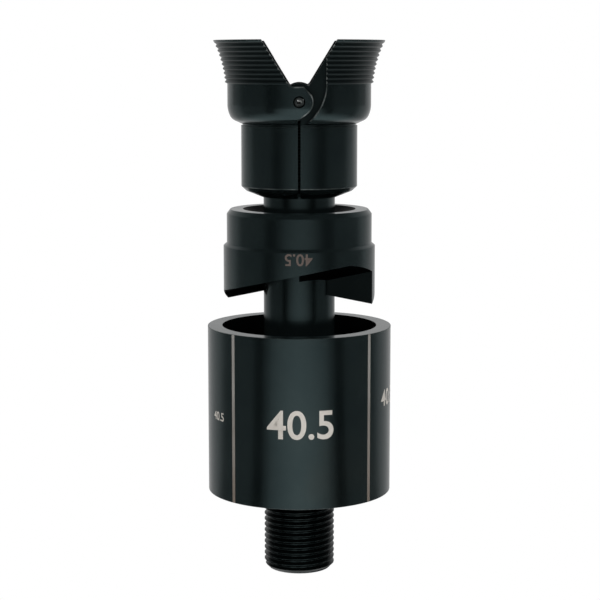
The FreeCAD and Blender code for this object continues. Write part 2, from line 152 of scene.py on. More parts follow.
# joins the points that a cut has left on top of each other
def weld(piece, distance=0.001):
    bm = bmesh.new()
    bm.from_mesh(piece.data)
    bmesh.ops.remove_doubles(bm, verts=bm.verts, dist=distance * mm)
    bm.to_mesh(piece.data)
    bm.free()


def carve(piece, cutters):
    for cutter in cutters:
        weld(piece)
        cut = piece.modifiers.new("cut", "BOOLEAN")
        cut.operation = "DIFFERENCE"
        cut.solver = "EXACT"
        cut.material_mode = "INDEX"
        cut.object = cutter
        applyModifiers(piece)
        bpy.data.objects.remove(cutter)


# breaks the outside edges that are sharper than the given angle and gives them the second material
def breakEdges(piece, width, degrees, segments=2):
    bm = bmesh.new()
    bm.from_mesh(piece.data)
    bmesh.ops.remove_doubles(bm, verts=bm.verts, dist=0.002 * mm)
    weight = bm.edges.layers.float.new("bevel_weight_edge")
    for edge in bm.edges:
        if edge.is_manifold and edge.is_convex and edge.calc_face_angle(0) > math.radians(degrees):
            edge[weight] = 1
    bm.to_mesh(piece.data)
    bm.free()
    bevel = piece.modifiers.new("edge", "BEVEL")
    bevel.width = width * mm
    bevel.segments = segments
    bevel.limit_method = "WEIGHT"
    bevel.material = 1
    bevel.use_clamp_overlap = True
    applyModifiers(piece)


# weighs the normals by area, so that a wide face stays true beside a small round
def smooth(piece, degrees=32):
    piece.data.shade_smooth()
    piece.data.set_sharp_from_angle(angle=math.radians(degrees))
    weigh = piece.modifiers.new("normals", "WEIGHTED_NORMAL")
    weigh.keep_sharp = True
    applyModifiers(piece)


def dress(piece, materials):
    for material in materials:
        piece.data.materials.append(material)


# gives faces a finish by radius, height, angle and how far they look outward, from 1 to -1
def paintFaces(piece, index, chosen):
    for face in piece.data.polygons:
        x, y, z = face.center
        radius = math.hypot(x, y)
        outward = (face.normal.x * x + face.normal.y * y) / max(radius, 1e-9)
        if chosen(radius / mm, z / mm, math.degrees(math.atan2(y, x)) % 360, outward):
            face.material_index = index


# faces that look inward, into bores, seats and hollows, which get the painted shade finishes
def isBored(radius, height, degrees, outward):
    return outward < -0.1


def finish(piece, body, replaces=None):
    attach(piece, body)
    if replaces:
        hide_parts(replaces)


# finishes

def newMaterial(name):
    material = bpy.data.materials.new(name)
    material.use_nodes = True
    tree = material.node_tree
    return material, tree.nodes, tree.links, tree.nodes["Principled BSDF"]


def noiseNode(nodes, links, vector, scale, detail, roughness=0.5):
    noise = nodes.new("ShaderNodeTexNoise")
    noise.inputs["Scale"].default_value = scale
    noise.inputs["Detail"].default_value = detail
    noise.inputs["Roughness"].default_value = roughness
    links.new(vector, noise.inputs["Vector"])
    return noise.outputs["Fac"]


def rangeNode(nodes, links, value, fromMin, fromMax, toMin, toMax):
    node = nodes.new("ShaderNodeMapRange")
    for name, number in (("From Min", fromMin), ("From Max", fromMax), ("To Min", toMin), ("To Max", toMax)):
        node.inputs[name].default_value = number
    links.new(value, node.inputs["Value"])
    return node.outputs["Result"]


# gives a socket its constant, or links it where the value comes from another node
def feed(links, socket, value):
    if isinstance(value, bpy.types.NodeSocket):
        links.new(value, socket)
    else:
        socket.default_value = value


def mathNode(nodes, links, operation, *values):
    node = nodes.new("ShaderNodeMath")
    node.operation = operation
    for socket, value in zip(node.inputs, values):
        feed(links, socket, value)
    return node.outputs[0]


def mixNode(nodes, links, factor, first, second, kind="FLOAT"):
    node = nodes.new("ShaderNodeMix")
    node.data_type = kind
    for name, value in (("Factor", factor), ("A", first), ("B", second)):
        feed(links, node.inputs[name], value)
    return node.outputs["Result"]


def mixColours(nodes, links, factor, *colours):
    first, second = [c if isinstance(c, bpy.types.NodeSocket) else (*c, 1) for c in colours]
    return mixNode(nodes, links, factor, first, second, "RGBA")


def bumpNode(nodes, links, height, depth, under=None):
    node = nodes.new("ShaderNodeBump")
    node.inputs["Distance"].default_value = depth
    links.new(height, node.inputs["Height"])
    if under:
        links.new(under, node.inputs["Normal"])
    return node.outputs["Normal"]


def splitVector(nodes, links, vector):
    parts = nodes.new("ShaderNodeSeparateXYZ")
    links.new(vector, parts.inputs[0])
    return parts.outputs


def objectPlace(nodes):
    return nodes.new("ShaderNodeTexCoord").outputs["Object"]


# squeezes the coordinates so that a noise runs in rings round the stud
def ringVector(nodes, links, place, across=0.02):
    squeeze = nodes.new("ShaderNodeMapping")
    squeeze.inputs["Scale"].default_value = (across, across, 1)
    links.new(place, squeeze.inputs["Vector"])
    return squeeze.outputs["Vector"]


# how fine the noise of each effect is
noisePerMetre = {
    "cloud": 70,
    "stain": 28,
    "grain": 5200,
    "wear": 420,
    "burn": 1500,
    "drift": 60,
    "bright": 300,
}
brightGrainDepth = 0.000003

blackOxideLook = {
    "dark": (0.027, 0.042, 0.044),
    "light": (0.036, 0.053, 0.054),
    "stain": (0.046, 0.047, 0.040),
    "metallic": 0.9,
    "metallicEdge": 1.0,
    "roughness": 0.15,
    "roughnessSpread": 0.05,
    "ringsPerMetre": 2600,
    "ringDepth": 0.0000018,
    "grainDepth": 0.0000008,
}

# milled, bored and threaded faces scatter more; their darker colours are painted shade, the shade in bores,
# hollows, recesses and grooves
shadedMattOxideLook = {
    "dark": (0.012, 0.0185, 0.019),
    "light": (0.018, 0.026, 0.0265),
    "stain": (0.02, 0.021, 0.018),
    "metallic": 0.9,
    "metallicEdge": 0.35,
    "roughness": 0.4,
    "roughnessSpread": 0.08,
    "ringsPerMetre": 1500,
    "ringDepth": 0.000004,
    "grainDepth": 0.000003,
}

# ribs and thread crests are matt too, with the same painted shade in their colours, but catch the light where
# they turn away
ribLook = {**shadedMattOxideLook, "metallicEdge": 1.0, "roughness": 0.28}


# blued steel: dark with a green-blue cast, faint turning rings, cloudy stains and a fine grain; tone scales
# the colours, making lighter and darker copies that paint highlight and shade
def blackOxide(name, look=blackOxideLook, tone=1):
    material, nodes, links, shader = newMaterial(name)
    place = objectPlace(nodes)
    cloud = noiseNode(nodes, links, place, noisePerMetre["cloud"], 5, 0.6)
    stain = noiseNode(nodes, links, place, noisePerMetre["stain"], 3)
    clouds = rangeNode(nodes, links, cloud, 0.35, 0.7, 0, 1)
    spots = rangeNode(nodes, links, stain, 0.58, 0.74, 0, 0.3)
    dark, light, brown = [[channel * tone for channel in look[key]] for key in ("dark", "light", "stain")]
    base = mixColours(nodes, links, clouds, dark, light)
    links.new(mixColours(nodes, links, spots, base, brown), shader.inputs["Base Color"])
    shader.inputs["Metallic"].default_value = look["metallic"]
    shader.inputs["Specular Tint"].default_value = (*[look["metallicEdge"]] * 3, 1)
    middle = look["roughness"]
    turning = noiseNode(nodes, links, ringVector(nodes, links, place), look["ringsPerMetre"], 4, 0.7)
    ringBlur = rangeNode(nodes, links, turning, 0.3, 0.7, middle - 0.03, middle + 0.03)
    cloudBlur = rangeNode(nodes, links, cloud, 0.3, 0.7, 0, look["roughnessSpread"])
    links.new(mathNode(nodes, links, "ADD", ringBlur, cloudBlur), shader.inputs["Roughness"])
    grain = noiseNode(nodes, links, place, noisePerMetre["grain"], 2)
    ringBump = bumpNode(nodes, links, turning, look["ringDepth"])
    links.new(bumpNode(nodes, links, grain, look["grainDepth"], ringBump), shader.inputs["Normal"])
    return material


# dark and light colours of the edges: worn oxide, lightened as painted highlight
turnedEdgeHighlightColours = ((0.032, 0.043, 0.043), (0.11, 0.128, 0.126))
handledEdgeHighlightColours = ((0.07, 0.09, 0.088), (0.42, 0.46, 0.45))


# handling wears the oxide off the edges in patches, and the light colour on them is also painted highlight,
# for edges that catch the light
def wornEdgeHighlight(name, colours=turnedEdgeHighlightColours):
    material, nodes, links, shader = newMaterial(name)
    patch = noiseNode(nodes, links, objectPlace(nodes), noisePerMetre["wear"], 4, 0.7)
    wear = rangeNode(nodes, links, patch, 0.4, 0.62, 0, 1)
    links.new(mixColours(nodes, links, wear, *colours), shader.inputs["Base Color"])
    links.new(rangeNode(nodes, links, patch, 0.3, 0.7, 0.4, 0.3), shader.inputs["Roughness"])
    shader.inputs["Metallic"].default_value = 0.9
    return material


# laser marking burns the oxide to a pale, slightly warm grey; below the given head the mark turns browner and
# darker towards the given foot
def etchedMark(name, dark, light, brown=None, foot=0, head=1):
    material, nodes, links, shader = newMaterial(name)
    place = objectPlace(nodes)
    burn = noiseNode(nodes, links, place, noisePerMetre["burn"], 3, 0.7)
    drift = noiseNode(nodes, links, place, noisePerMetre["drift"], 2)
    drift = rangeNode(nodes, links, drift, 0.3, 0.7, 0, 0.55)
    both = mathNode(nodes, links, "MULTIPLY_ADD", burn, 0.45, drift)
    colour = mixColours(nodes, links, both, dark, light)
    if brown:
        height = splitVector(nodes, links, place)["Z"]
        footShare = rangeNode(nodes, links, height, foot * mm, head * mm, 0.85, 0)
        colour = mixColours(nodes, links, footShare, colour, brown)
    links.new(colour, shader.inputs["Base Color"])
    links.new(rangeNode(nodes, links, burn, 0.3, 0.7, 0.62, 0.42), shader.inputs["Roughness"])
    shader.inputs["Metallic"].default_value = 0.35
    return material


def brightSteel(name, dark, light, roughness, scratch):
    material, nodes, links, shader = newMaterial(name)
    place = objectPlace(nodes)
    cloud = noiseNode(nodes, links, place, noisePerMetre["bright"], 4, 0.6)
    grain = noiseNode(nodes, links, place, scratch, 3, 0.7)
    tone = rangeNode(nodes, links, cloud, 0.35, 0.65, 0, 1)
    links.new(mixColours(nodes, links, tone, dark, light), shader.inputs["Base Color"])
    blur = rangeNode(nodes, links, grain, 0.3, 0.7, roughness - 0.05, roughness + 0.08)
    links.new(blur, shader.inputs["Roughness"])
    shader.inputs["Metallic"].default_value = 1
    links.new(bumpNode(nodes, links, grain, brightGrainDepth), shader.inputs["Normal"])
    return material


# draw stud

stud = {
    "shankRadius": 9.525,
    "threadRadius": 9.49,
    "pitch": 25.4 / 16,
    "threadDepth": 0.95,
    "endChamfer": 1.2,
    "faceInset": 0.4,
    "reliefRadius": 8.6,
    "reliefWidth": 2.0,
    "shankEdge": 0.4,
    "driverThreadTop": -0.2,
    "nutThreadStart": 79.8,
    "columns": 160,
    "rowsPerPitch": 20,
    "flankFrom": 0.05,       # how far outward a face of the thread looks, from its flank on
    "crestFrom": 0.93,
    "sharpDegrees": 42,
}


# how far a sharp thread's surface lies under its crest, by its place along one pitch
def threadDepth(place, crestFlat=0.13, rootFlat=0.16):
    fromCrest = abs(place % 1 - 0.5) * 2
    return min(max((1 - fromCrest - crestFlat) / (1 - crestFlat - rootFlat), 0), 1)


def makeDrawStud():
    pitch = stud["pitch"]
    lowEnd = stud["driverThreadTop"]
    tip = stud["threadRadius"] - stud["endChamfer"]
    nutThread = stud["nutThreadStart"]

    def threadRows(start, end):
        count = int((end - start) / pitch * stud["rowsPerPitch"])
        return [(stud["threadRadius"], start + (end - start) * i / count, -1) for i in range(count + 1)]

    rows = [(0, studFoot, -1), (tip - stud["faceInset"], studFoot, -1)]
    rows += threadRows(studFoot, lowEnd)
    shank = lowEnd + stud["reliefWidth"]
    rows += [
        (stud["reliefRadius"], lowEnd, -1),
        (stud["reliefRadius"], shank, -1),
        (stud["shankRadius"], shank + stud["shankEdge"], -1),
        (stud["shankRadius"], nutThread, -1),
    ]
    rows += threadRows(nutThread, studTop)
    rows += [(tip - stud["faceInset"], studTop, -1), (0, studTop, -1)]

    def radiusAt(radius, height, angle):
        if radius != stud["threadRadius"]:
            return radius
        cut = threadDepth(height / pitch - angle / (2 * math.pi)) * stud["threadDepth"]
        fade = min(max((height - nutThread) / pitch, 0), 1) if height > nutThread / 2 else 1
        fromEnd = min(height - studFoot, studTop - height)
        return min(radius - cut * fade, tip + fromEnd)

    piece = latheMesh("drawStud", rows, evenAngles(stud["columns"]), False, radiusAt)
    # painted highlight on the thread crests (a lighter copy) and painted shade on the flanks (a darker copy)
    crest = blackOxide("threadCrestHighlight", ribLook, 1.3)
    dress(piece, [blackOxide("studSteel"), blackOxide("threadFlankShade", ribLook, 0.6), crest])

    def isThreaded(radius, height, degrees, outward):
        return outward > stud["flankFrom"] and not lowEnd < height < nutThread

    def isFlank(radius, height, degrees, outward):
        return stud["flankFrom"] < outward < stud["crestFrom"]

    paintFaces(piece, 2, isThreaded)
    paintFaces(piece, 1, isFlank)
    smooth(piece, stud["sharpDegrees"])
    finish(piece, "stud", "draw_stud")


# die

die = {
    "radius": 24.588,
    "mouthRadius": 20.65,
    "cavityRadius": 21.15,
    "landDepth": 12.0,
    "reliefStep": 0.5,
    "floor": 11.0,
    "holeRadius": 9.605,
    "holeEdge": 0.4,
    "edge": 0.12,
    "columns": 256,
    "lineDegrees": (225.7, 317.8, 45.7, 137.8),
    "lineWidth": 1.0,
}


def makeDie():
    edge = die["edge"]
    bevel = die["holeEdge"]
    land = dieTop - die["landDepth"]
    rows = roundedOutline([
        (die["holeRadius"] + bevel, 0, 0.15, "wornAndLit"),
        (die["radius"], 0, edge, "wornAndLit"),
        (die["radius"], dieTop, edge, "wornAndLit"),
        (die["mouthRadius"], dieTop, 0.06, "wornAndLit"),
        (die["mouthRadius"], land, 0.3),
        (die["cavityRadius"], land - die["reliefStep"], 0.3),
        (die["cavityRadius"], die["floor"], 1.0),
        (die["holeRadius"] + bevel, die["floor"], 0.15),
        (die["holeRadius"], die["floor"] - bevel, 0.15),
        (die["holeRadius"], bevel, 0.15),
    ])
    halfLine = die["lineWidth"] / 2 / die["radius"]
    angles = evenAngles(die["columns"])
    for degrees in die["lineDegrees"]:
        middle = math.radians(degrees)
        angles = [a for a in angles if abs(a - middle) > halfLine * 1.5]
        angles += [middle - halfLine, middle + halfLine]
    piece = latheMesh("dieCup", rows, sorted(angles))

    def isOnLine(radius, height, degrees, outward):
        nearest = min(abs(degrees - line) for line in die["lineDegrees"])
        return outward > 0.9 and math.radians(nearest) < halfLine * 0.9

    scribed = etchedMark("scribedLine", (0.17, 0.155, 0.14), (0.34, 0.335, 0.315), (0.15, 0.115, 0.09), 0, 30)
    # painted shade: a darker copy of the shaded matt oxide inside the cup and the hole
    boreShade = blackOxide("dieBoreShade", shadedMattOxideLook, 0.6)
    dress(piece, [blackOxide("dieSteel"), wornEdgeHighlight("dieEdge"), boreShade, scribed])
    paintFaces(piece, 2, isBored)
    paintFaces(piece, 3, isOnLine)
    smooth(piece)
    finish(piece, "die", "die")


# punch

punch = {
    "radius": 20.238,
    "neckRadius": 19.338,
    "landHeight": 8.15,
    "step": 0.75,
    "topHeight": 17.9,
    "chamferHeight": 1.25,
    "chamferWidth": 0.95,
    "seatRadius": 15.0,
    "seatDegrees": 21.5,
    "boreRadius": 9.605,
    "slope": 0.2,
    "crown": 0.11,
    "tangRelief": 0.51,
    "valleySlope": 0.3,
    "valleyStart": 15.4,
    "tangHalfWidth": 6.1,
    "cutOverlap": 0.003,     # the facet cutters pass each other by this much at the middle
    "cutReach": 26.0,
    "cutDepth": 12.0,
    "blankFoot": -16.0,      # the turned blank goes down to here before the facets are cut
    "columns": 256,
    "edgeBreak": 0.11,
    "edgeDegrees": 34,
}


def makePunch():
    zero = punchTop - punch["topHeight"]
    low = punch["blankFoot"]
    seatFall = (punch["seatRadius"] - punch["boreRadius"]) * math.tan(math.radians(punch["seatDegrees"]))
    rows = roundedOutline([
        (punch["boreRadius"], low),
        (punch["radius"], low),
        (punch["radius"], punch["landHeight"], 0.15),
        (punch["neckRadius"], punch["landHeight"] + punch["step"], 0.6),
        (punch["neckRadius"], punch["topHeight"] - punch["chamferHeight"], 0.3),
        (punch["neckRadius"] - punch["chamferWidth"], punch["topHeight"], 0.2),
        (punch["seatRadius"], punch["topHeight"], 0.12, "wornAndLit"),
        (punch["boreRadius"], punch["topHeight"] - seatFall, 0.25),
    ])
    rows = [(r, z + zero, wornAndLit) for r, z, wornAndLit in rows]
    piece = latheMesh("punchBody", rows, evenAngles(punch["columns"]))
    # painted shade: a much darker copy of the shaded matt oxide on the seat, the bore and the cut facets
    facet = blackOxide("shadedShearFacet", shadedMattOxideLook, 0.45)
    dress(piece, [blackOxide("punchSteel"), wornEdgeHighlight("punchEdge"), facet])
    paintFaces(piece, 2, isBored)

    # every facet is ruled along one slanting line, so each cutter is a side outline of (y, z) swept along it
    rim = punch["cutReach"]
    deep = low - punch["cutDepth"]
    split = punch["tangHalfWidth"]
    valley = punch["valleyStart"]
    falling = [(-rim, deep), (split, deep), (split, -punch["tangRelief"] * split), (0, 0),
               (-rim, punch["crown"] * rim)]
    rising = [(-rim, deep), (-split, deep),
              (-split, punch["crown"] * split - punch["valleySlope"] * (valley - split)),
              (-valley, punch["crown"] * valley), (-rim, punch["crown"] * rim)]
    cutters = []
    for outline, way in ((falling, -1), (rising, 1)):
        for turn in (1, -1):
            sections = []
            for reach in (-punch["cutOverlap"], rim):
                rise = zero + way * punch["slope"] * reach
                sections.append([(way * turn * reach, y * turn, z + rise) for y, z in outline])
            cutters.append(loftMesh("facetCut", sections))
    carve(piece, cutters)
    breakEdges(piece, punch["edgeBreak"], punch["edgeDegrees"])
    smooth(piece)
    finish(piece, "punch", "punch")


# split nut

nut = {
    "boreRadius": 9.6,
    "coneEdge": 14.1,
    "coneDepth": 23.7,
    "coneDegrees": 21.5,
    "radius": 15.4,
    "corner": 0.7,
    "neckRadius": 15.0,
    "neckDepth": 6.4,
    "neckHeight": 0.4,
    "undersideRadius": 15.25,
    "undersideDegrees": 25.0,
    "barrelRadius": 19.0,
    "barrelBottomRadius": 18.6,
    "barrelBottomDepth": 2.75,
    "barrelCorner": 2.7,
    "barrelSwell": 6.97,     # a wide round leads from the straight barrel into the corner
    "swellDepth": 0.945,
    "swellDegrees": 25.0,
    "hollowRadius": 12.6,
    "hollowFloor": -6.0,
    "mouthRadius": 16.0,
    "ribBase": 4.8,
    "ribLedge": 0.3,
    "ribCount": 9,
    "ribDepth": 0.45,
    "ribLand": 0.2,
    "rimHeight": 0.6,
    "flareBase": 19.6,
    "flareTop": 22.7,
    "flareRadius": 32.5,
    "leverHeight": 15.8,
    "leverLean": 31.5,
    "splitGap": 0.7,
    "earSplit": 15.7,
    "earClearance": 0.1,
    "innerEarFace": 12.9,
    "shoulder": 3.9,
    "blend": 1.8,
    "earRadius": 3.65,
    "earCorner": 1.2,
    "earCornerHeight": 1.7,
    "earFoot": 2.2,
    "earFootDepth": 4.9,
    "pocket": 5.05,
    "dome": 4.7,
    "recessEdge": 6.9,
    "recessArc": 13.1,
    "pinHole": 1.53,
    "springRoomHalfWidth": 7.4,
    "springRoomFloor": -3.6,
    "springRoomTop": 8.0,
    "threadDepth": 0.85,
    "threadRowsPerPitch": 8,
    "columns": 224,
    "chamfer": 0.32,
    "chamferStep": 0.5,
    "chamferLowest": -5.0,
    "chamferReach": 0.6,     # how far a chamfer's cutter runs on past the chamfer, and out over the corner
    "chamferOver": 0.9,
    "boreRelief": 0.4,
    "cutHead": 3.0,
    "cutFoot": -34.0,
    "cutReach": 30.0,
    "stepOverlap": 0.003,    # each milled step starts this far inside the one before it
    "ribTone": 1.2,
}


def flareRadiusAt(height):
    rise = nut["leverHeight"] - nut["ribBase"]
    reach = nut["flareTop"] - nut["flareBase"]
    chord = math.hypot(rise, reach)
    lean = math.asin(reach / chord)
    sweep = math.asin(chord / (2 * nut["flareRadius"]))
    centreHeight = nut["ribBase"] - nut["flareRadius"] * math.sin(lean - sweep)
    centreRadius = nut["flareBase"] + nut["flareRadius"] * math.cos(lean - sweep)
    return centreRadius - math.sqrt(nut["flareRadius"] ** 2 - (height - centreHeight) ** 2)


def nutRows():
    tangent = math.tan(math.radians(nut["coneDegrees"]))
    relief = nut["boreRelief"]
    coneFoot = -nut["coneDepth"] - (nut["coneEdge"] - nut["boreRadius"] - relief) * tangent
    coneTop = -nut["coneDepth"] + (nut["radius"] - nut["coneEdge"]) * tangent
    corner = nut["barrelCorner"]
    centreRadius = nut["barrelBottomRadius"] - corner
    neckTop = -nut["neckDepth"] + nut["neckHeight"]
    ribBase = nut["ribBase"]
    corners = [
        (nut["boreRadius"] + relief, coneFoot, 0.1),
        (nut["coneEdge"], -nut["coneDepth"], 0.4),
        (nut["radius"], coneTop + nut["corner"], 0.45, "wornAndLit"),
        (nut["radius"], -nut["neckDepth"], 0.12, "wornAndLit"),
        (nut["neckRadius"], -nut["neckDepth"], 0.1),
        (nut["neckRadius"], neckTop, 0.1),
        (nut["undersideRadius"], neckTop, 0.1),
    ]
    swell = nut["barrelSwell"]
    lowest = nut["undersideDegrees"] - 90
    corners += arcPoints(centreRadius, -nut["barrelBottomDepth"], corner, lowest, -nut["swellDegrees"], 10)
    swellCentre = nut["barrelRadius"] - swell
    corners += arcPoints(swellCentre, -nut["swellDepth"], swell, -nut["swellDegrees"], 0, 8)[1:]
    corners += [(nut["barrelRadius"], ribBase - nut["ribLedge"], 0.12)]
    pitch = (nut["leverHeight"] - nut["rimHeight"] - ribBase) / nut["ribCount"]
    for rib in range(nut["ribCount"]):
        low = ribBase + rib * pitch
        root = low + (pitch + nut["ribLand"]) / 2
        corners.append((flareRadiusAt(low), low, 0.07))
        corners.append((flareRadiusAt(low + nut["ribLand"]), low + nut["ribLand"], 0.07))
        corners.append((flareRadiusAt(root) - nut["ribDepth"], root, 0.1))
    rimLow = nut["leverHeight"] - nut["rimHeight"]
    corners += [
        (flareRadiusAt(rimLow), rimLow, 0.07, "wornAndLit"),
        (nut["flareTop"], nut["leverHeight"], 0.15, "wornAndLit"),
        (nut["mouthRadius"], nut["leverHeight"], 0.3, "wornAndLit"),
        (nut["hollowRadius"], ribBase, 3.0),
        (nut["hollowRadius"], nut["hollowFloor"], 0.4),
        (nut["boreRadius"], nut["hollowFloor"]),
    ]
    boreFoot = coneFoot + relief
    run = nut["hollowFloor"] - boreFoot
    count = int(run / stud["pitch"] * nut["threadRowsPerPitch"])
    corners += [(nut["boreRadius"], nut["hollowFloor"] - run * i / count) for i in range(1, count + 1)]
    rows = roundedOutline(corners, 3)
    return [(r, z + hingeHeight, wornAndLit) for r, z, wornAndLit in rows], boreFoot + hingeHeight


# the milled outlines of the left half seen from the front as (x, z) about the hinge, each with its front
# and back, and the parts of two outlines whose corners are taken off
def nutCuts():
    lean = math.tan(math.radians(nut["leverLean"]))
    over = nut["leverHeight"] + nut["cutHead"]
    split = -nut["splitGap"] / 2
    start = [(-over * lean, over)]
    reach = nut["cutReach"]
    rest = [(split, nut["cutFoot"]), (reach, nut["cutFoot"]), (reach, over)]
    lineDegrees = 90 + nut["leverLean"]

    blend = nut["blend"]
    blendRun = blend * math.tan(math.radians((90 - nut["leverLean"]) / 2))
    blendCentre = (blendRun - nut["shoulder"] * lean, nut["shoulder"] + blend)
    earRadius = nut["earRadius"]
    cornerDegrees = math.degrees(math.asin(nut["earCornerHeight"] / earRadius))
    footDegrees = -math.degrees(math.acos(nut["earFoot"] / earRadius))
    earEdge = start + arcPoints(*blendCentre, blend, 180 + nut["leverLean"], 270, 8)
    earEdge += [(nut["earCorner"], nut["shoulder"])]
    earEdge += arcPoints(0, 0, earRadius, cornerDegrees, footDegrees, 16)
    earEdge += [(split, -nut["earFootDepth"])]

    pocketEnd = 180 + math.degrees(math.acos(-split / nut["pocket"]))
    innerPocket = start + arcPoints(0, 0, nut["pocket"], lineDegrees, pocketEnd, 24) + rest
    domeEnd = -90 - math.degrees(math.asin(-split / nut["dome"]))
    innerEar = start + arcPoints(0, 0, nut["dome"], lineDegrees, domeEnd, 40) + rest
    edge = nut["recessEdge"]
    arc = nut["recessArc"]
    sink = edge - arc
    low = nut["ribBase"] - math.sqrt(arc ** 2 - (sink + split) ** 2)
    arcEnd = 180 + math.degrees(math.atan2(nut["ribBase"] - low, -split - sink))
    recessEdge = start + [(-edge, edge / lean), (-edge, nut["ribBase"])]
    recessEdge += arcPoints(-sink, nut["ribBase"], arc, 180, arcEnd, 24)[1:]
    hole = arcPoints(0, 0, nut["pinHole"], 0, 360, 40)[:-1]
    side = nut["springRoomHalfWidth"]
    floor = nut["springRoomFloor"]
    top = nut["springRoomTop"]
    springRoom = [(-side, floor), (side, floor), (side, top), (-side, top)]
    behind = nut["earSplit"] - nut["earClearance"]
    overlap = nut["stepOverlap"]
    cuts = [
        (earEdge + rest, -reach, -nut["earSplit"]),
        (innerPocket, -nut["earSplit"] - overlap, nut["innerEarFace"]),
        (innerEar, nut["innerEarFace"] - overlap, behind),
        (recessEdge + rest, behind - overlap, reach),
        (springRoom, -nut["innerEarFace"], nut["innerEarFace"]),
        (hole, -reach, reach),
    ]
    edges = [[(x, z) for x, z in path if z > nut["chamferLowest"]] for path in (earEdge, recessEdge)]
    return cuts, edges


# the turned skin's radius and slope above, on and below the barrel
def skinAt(height):
    if height > nut["ribBase"] - nut["ribLedge"]:
        slope = (flareRadiusAt(height + 0.1) - flareRadiusAt(height - 0.1)) / 0.2
        return flareRadiusAt(height), slope
    swell = nut["barrelSwell"]
    if height > -nut["swellDepth"]:
        return nut["barrelRadius"], 0
    if height > -nut["swellDepth"] - swell * math.sin(math.radians(nut["swellDegrees"])):
        below = -height - nut["swellDepth"]
        across = math.sqrt(swell ** 2 - below ** 2)
        return nut["barrelRadius"] - swell + across, below / across
    below = -height - nut["barrelBottomDepth"]
    across = math.sqrt(nut["barrelCorner"] ** 2 - below ** 2)
    return nut["barrelBottomRadius"] - nut["barrelCorner"] + across, below / across


# triangular sections along a milled wall's edge on the skin, which together take its corner off
def chamferSections(path, way):
    dense = []
    for (x, z), (nextX, nextZ) in zip(path, path[1:]):
        count = max(int(math.hypot(nextX - x, nextZ - z) / nut["chamferStep"]), 1)
        dense += [(x + (nextX - x) * i / count, z + (nextZ - z) * i / count) for i in range(count)]
    dense.append(path[-1])
    sections = []
    for i, (x, z) in enumerate(dense):
        before = dense[max(i - 1, 0)]
        after = dense[min(i + 1, len(dense) - 1)]
        along = Vector((after[0] - before[0], 0, after[1] - before[1])).normalized()
        wallNormal = Vector((-along.z, 0, along.x))
        radius, slope = skinAt(z)
        y = way * math.sqrt(radius ** 2 - x ** 2)
        point = Vector((x, y, z))
        skinNormal = Vector((x / radius, y / radius, -slope)).normalized()
        intoWall = (wallNormal * skinNormal.dot(wallNormal) - skinNormal).normalized()
        intoSkin = (skinNormal * wallNormal.dot(skinNormal) - wallNormal).normalized()
        first = point + intoWall * nut["chamfer"]
        last = point + intoSkin * nut["chamfer"]
        reach = (last - first).normalized() * nut["chamferReach"]
        over = point + (wallNormal + skinNormal) * nut["chamferOver"]
        sections.append([first - reach, last + reach, over])
    return sections


def makeNutHalf(name, node, body, halfTurn):
    rows, boreFoot = nutRows()
    floor = nut["hollowFloor"] + hingeHeight
    pitch = stud["pitch"]

    def radiusAt(radius, height, angle):
        if abs(radius - nut["boreRadius"]) > 0.001 or not boreFoot <= height <= floor:
            return radius
        turned = angle / (2 * math.pi) + (0.5 if halfTurn else 0)
        cut = threadDepth(height / pitch - turned + 0.5) * nut["threadDepth"]
        fade = min((height - boreFoot) / pitch, (floor - height) / pitch, 1)
        return radius + cut * fade

    piece = latheMesh(name, rows, evenAngles(nut["columns"]), True, radiusAt)
    # the milled finish is painted shade, darker matt colours on the bore, cone and milled faces; the handled
    # finish is worn oxide with painted highlight; the rib finish takes the same painted shade, lightened by
    # ribTone
    dress(piece, [
        blackOxide(name + "Steel"),
        wornEdgeHighlight(name + "Edge"),
        blackOxide(name + "MilledShade", shadedMattOxideLook),
        wornEdgeHighlight(name + "HandledHighlight", handledEdgeHighlightColours),
        blackOxide(name + "Rib", ribLook, nut["ribTone"]),
    ])
    ribFoot = hingeHeight + nut["ribBase"] - nut["ribLedge"]
    ribHead = hingeHeight + nut["leverHeight"] - nut["rimHeight"]

    def isRibbed(radius, height, degrees, outward):
        return outward > 0 and ribFoot < height < ribHead

    paintFaces(piece, 2, isBored)
    paintFaces(piece, 4, isRibbed)
    place = Matrix.Translation((0, 0, hingeHeight))
    cuts, edges = nutCuts()
    cutters = []
    for outline, front, back in cuts:
        sections = [[(x, y, z) for x, z in outline] for y in (front, back)]
        cutters.append(loftMesh("milling", sections, place))
    # the chamfers leave the handled finish, worn oxide with painted highlight
    for path, way in zip(edges, (-1, 1)):
        cutters.append(loftMesh("chamfer", chamferSections(path, way), place, 3))
    carve(piece, cutters)
    if halfTurn:
        piece.data.transform(Matrix.Rotation(math.pi, 4, "Z"))
    smooth(piece)
    finish(piece, body, node)


# hinge pins and lever springs

pin = {
    "radius": 1.5,
    "outerEnd": 18.9,
    "innerEnd": 9.85,
    "chamfer": 0.3,
    "highlightCore": 0.62,
    "roundShare": 0.75,
    "turns": 2.25,
    "stripPitch": 0.46,
    "stripGap": 0.1,
    "startAngle": 0.6,
    "stepsPerTurn": 28,
    "sharpDegrees": 30,
}


# the middle of the hinge, turned half round for the pieces at the back
def hingePlace(halfTurn):
    return Matrix.Translation((0, 0, hingeHeight)) @ Matrix.Rotation(math.pi if halfTurn else 0, 4, "Z")


